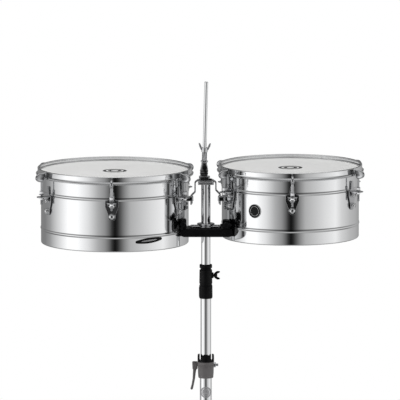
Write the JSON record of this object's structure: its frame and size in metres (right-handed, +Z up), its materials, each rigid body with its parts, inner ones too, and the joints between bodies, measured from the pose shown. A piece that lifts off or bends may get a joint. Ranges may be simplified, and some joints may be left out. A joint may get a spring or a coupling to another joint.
{
  "type": "timbales",
  "caption": "Pair of shallow chrome drums hung side by side on a sliding column stand with an accessory rod and a folding tripod.",
  "frame": {"origin": "on the floor, under the middle of the bounding box", "axes": "+X to the smaller drum, -Y to the audience side that the picture shows, +Z up"},
  "size_m": [0.79, 0.6334, 1.1463],
  "materials": {
    "chrome": "mirror-bright chrome plate",
    "zinc_steel": "satin zinc-plated steel",
    "drumhead_film": "sand-coated white polyester film",
    "black_cast": "fine-textured black powder coat",
    "grey_cast": "satin mid-grey coated casting",
    "rubber": "matt moulded rubber"
  },
  "bodies": {
    "stand_base": {"lower_tube": "chrome", "lower_clamp": "grey_cast", "clamp_cam_bolt": "zinc_steel", "tripod_hub": "black_cast"},
    "lever": {"clamp_lever": "grey_cast"},
    "middle_section": {"middle_tube": "chrome", "height_collar": "black_cast"},
    "collar_screw": {"height_collar_wing_screw": "black_cast"},
    "drum_section": {"upper_tube": "chrome", "top_bracket": "chrome", "cradle_bar": "black_cast", "cradle_collar": "chrome", "rod_clamp": "black_cast", "left_shell": "chrome", "right_shell": "chrome", "left_drumhead": "drumhead_film", "right_drumhead": "drumhead_film", "left_shell_mount": "chrome", "right_shell_mount": "chrome", "left_lug_bracket_1": "chrome", "left_lug_bracket_2": "chrome", "left_lug_bracket_3": "chrome", "left_lug_bracket_4": "chrome", "left_lug_bracket_5": "chrome", "left_lug_bracket_6": "chrome", "right_lug_bracket_1": "chrome", "right_lug_bracket_2": "chrome", "right_lug_bracket_3": "chrome", "right_lug_bracket_4": "chrome", "right_lug_bracket_5": "chrome", "right_lug_bracket_6": "chrome"},
    "left_hoop": {"left_tension_hook_1": "chrome", "left_tension_hook_2": "chrome", "left_tension_hook_3": "chrome", "left_tension_hook_4": "chrome", "left_tension_hook_5": "chrome", "left_tension_hook_6": "chrome", "left_counterhoop": "chrome"},
    "right_hoop": {"right_tension_hook_1": "chrome", "right_tension_hook_2": "chrome", "right_tension_hook_3": "chrome", "right_tension_hook_4": "chrome", "right_tension_hook_5": "chrome", "right_tension_hook_6": "chrome", "right_counterhoop": "chrome"},
    "left_knob": {"left_cradle_knob": "black_cast"},
    "right_knob": {"right_cradle_knob": "black_cast"},
    "wing_nut": {"rod_wing_nut": "zinc_steel"},
    "accessory_rod": {"accessory_rod": "chrome"},
    "slider": {"tripod_slider": "black_cast"},
    "slider_screw": {"slider_wing_screw": "black_cast"},
    "left_leg": {"left_leg": "zinc_steel", "left_foot": "rubber"},
    "left_brace": {"left_brace": "zinc_steel"},
    "back_leg": {"back_leg": "zinc_steel", "back_foot": "rubber"},
    "back_brace": {"back_brace": "zinc_steel"},
    "front_leg": {"front_leg": "zinc_steel", "front_foot": "rubber"},
    "front_brace": {"front_brace": "zinc_steel"}
  },
  "joints": [
    {"name": "column_height", "type": "slide", "parent": "stand_base", "child": "middle_section", "axis": [0, 0, 1], "range_m": [-0.12, 0.15]},
    {"name": "drum_height", "type": "slide", "parent": "middle_section", "child": "drum_section", "axis": [0, 0, 1], "range_m": [-0.06, 0.15]},
    {"name": "lever_swing", "type": "hinge", "parent": "stand_base", "child": "lever", "pos_m": [-0.01079, 0.0235, 0.4555], "axis": [0, 1, 0], "range_deg": [0, 105]},
    {"name": "collar_screw_turn", "type": "hinge", "parent": "middle_section", "child": "collar_screw", "pos_m": [0.03281, 0, 0.6772], "axis": [1, 0, 0], "range_deg": [0, 450]},
    {"name": "left_knob_turn", "type": "hinge", "parent": "drum_section", "child": "left_knob", "pos_m": [-0.04109, -0.032, 0.8072], "axis": [0, -1, 0], "range_deg": [0, 450]},
    {"name": "right_knob_turn", "type": "hinge", "parent": "drum_section", "child": "right_knob", "pos_m": [0.06241, -0.032, 0.8052], "axis": [0, -1, 0], "range_deg": [0, 450]},
    {"name": "rod_nut_turn", "type": "hinge", "parent": "drum_section", "child": "wing_nut", "pos_m": [0.00951, 0, 0.918], "axis": [0.0244, 0, 0.9997], "range_deg": [0, 450]},
    {"name": "rod_lift", "type": "slide", "parent": "drum_section", "child": "accessory_rod", "axis": [0.0244, 0, 0.9997], "range_m": [0, 0.05]},
    {"name": "left_hoop_lift", "type": "slide", "parent": "drum_section", "child": "left_hoop", "axis": [0, 0, 1], "range_m": [0, 0.008]},
    {"name": "right_hoop_lift", "type": "slide", "parent": "drum_section", "child": "right_hoop", "axis": [0, 0, 1], "range_m": [0, 0.008]},
    {"name": "tripod_fold", "type": "slide", "parent": "stand_base", "child": "slider", "axis": [0, 0, 1], "range_m": [0, 0.17159]},
    {"name": "slider_screw_turn", "type": "hinge", "parent": "slider", "child": "slider_screw", "pos_m": [0.03451, 0, 0.22296], "axis": [1, 0, 0], "range_deg": [0, 450]},
    {"name": "left_leg_fold", "type": "hinge", "parent": "slider", "child": "left_leg", "pos_m": [-0.01499, 0, 0.22296], "axis": [0, -1, 0], "range_deg": [0, 52.05]},
    {"name": "left_brace_fold", "type": "hinge", "parent": "stand_base", "child": "left_brace", "pos_m": [-0.01499, 0, 0.016], "axis": [0, 1, 0], "range_deg": [0, 52.05]},
    {"name": "back_leg_fold", "type": "hinge", "parent": "slider", "child": "back_leg", "pos_m": [0.02851, 0.02511, 0.22296], "axis": [-0.866, 0.5, 0], "range_deg": [0, 52.05]},
    {"name": "back_brace_fold", "type": "hinge", "parent": "stand_base", "child": "back_brace", "pos_m": [0.02851, 0.02511, 0.016], "axis": [0.866, -0.5, 0], "range_deg": [0, 52.05]},
    {"name": "front_leg_fold", "type": "hinge", "parent": "slider", "child": "front_leg", "pos_m": [0.02851, -0.02511, 0.22296], "axis": [0.866, 0.5, 0], "range_deg": [0, 52.05]},
    {"name": "front_brace_fold", "type": "hinge", "parent": "stand_base", "child": "front_brace", "pos_m": [0.02851, -0.02511, 0.016], "axis": [-0.866, -0.5, 0], "range_deg": [0, 52.05]}
  ],
  "couplings": [
    {"joint": "left_leg_fold", "follows": "tripod_fold", "rad_per_m": 5.2891},
    {"joint": "left_brace_fold", "follows": "tripod_fold", "rad_per_m": 5.2891},
    {"joint": "back_leg_fold", "follows": "tripod_fold", "rad_per_m": 5.2891},
    {"joint": "back_brace_fold", "follows": "tripod_fold", "rad_per_m": 5.2891},
    {"joint": "front_leg_fold", "follows": "tripod_fold", "rad_per_m": 5.2891},
    {"joint": "front_brace_fold", "follows": "tripod_fold", "rad_per_m": 5.2891}
  ]
}
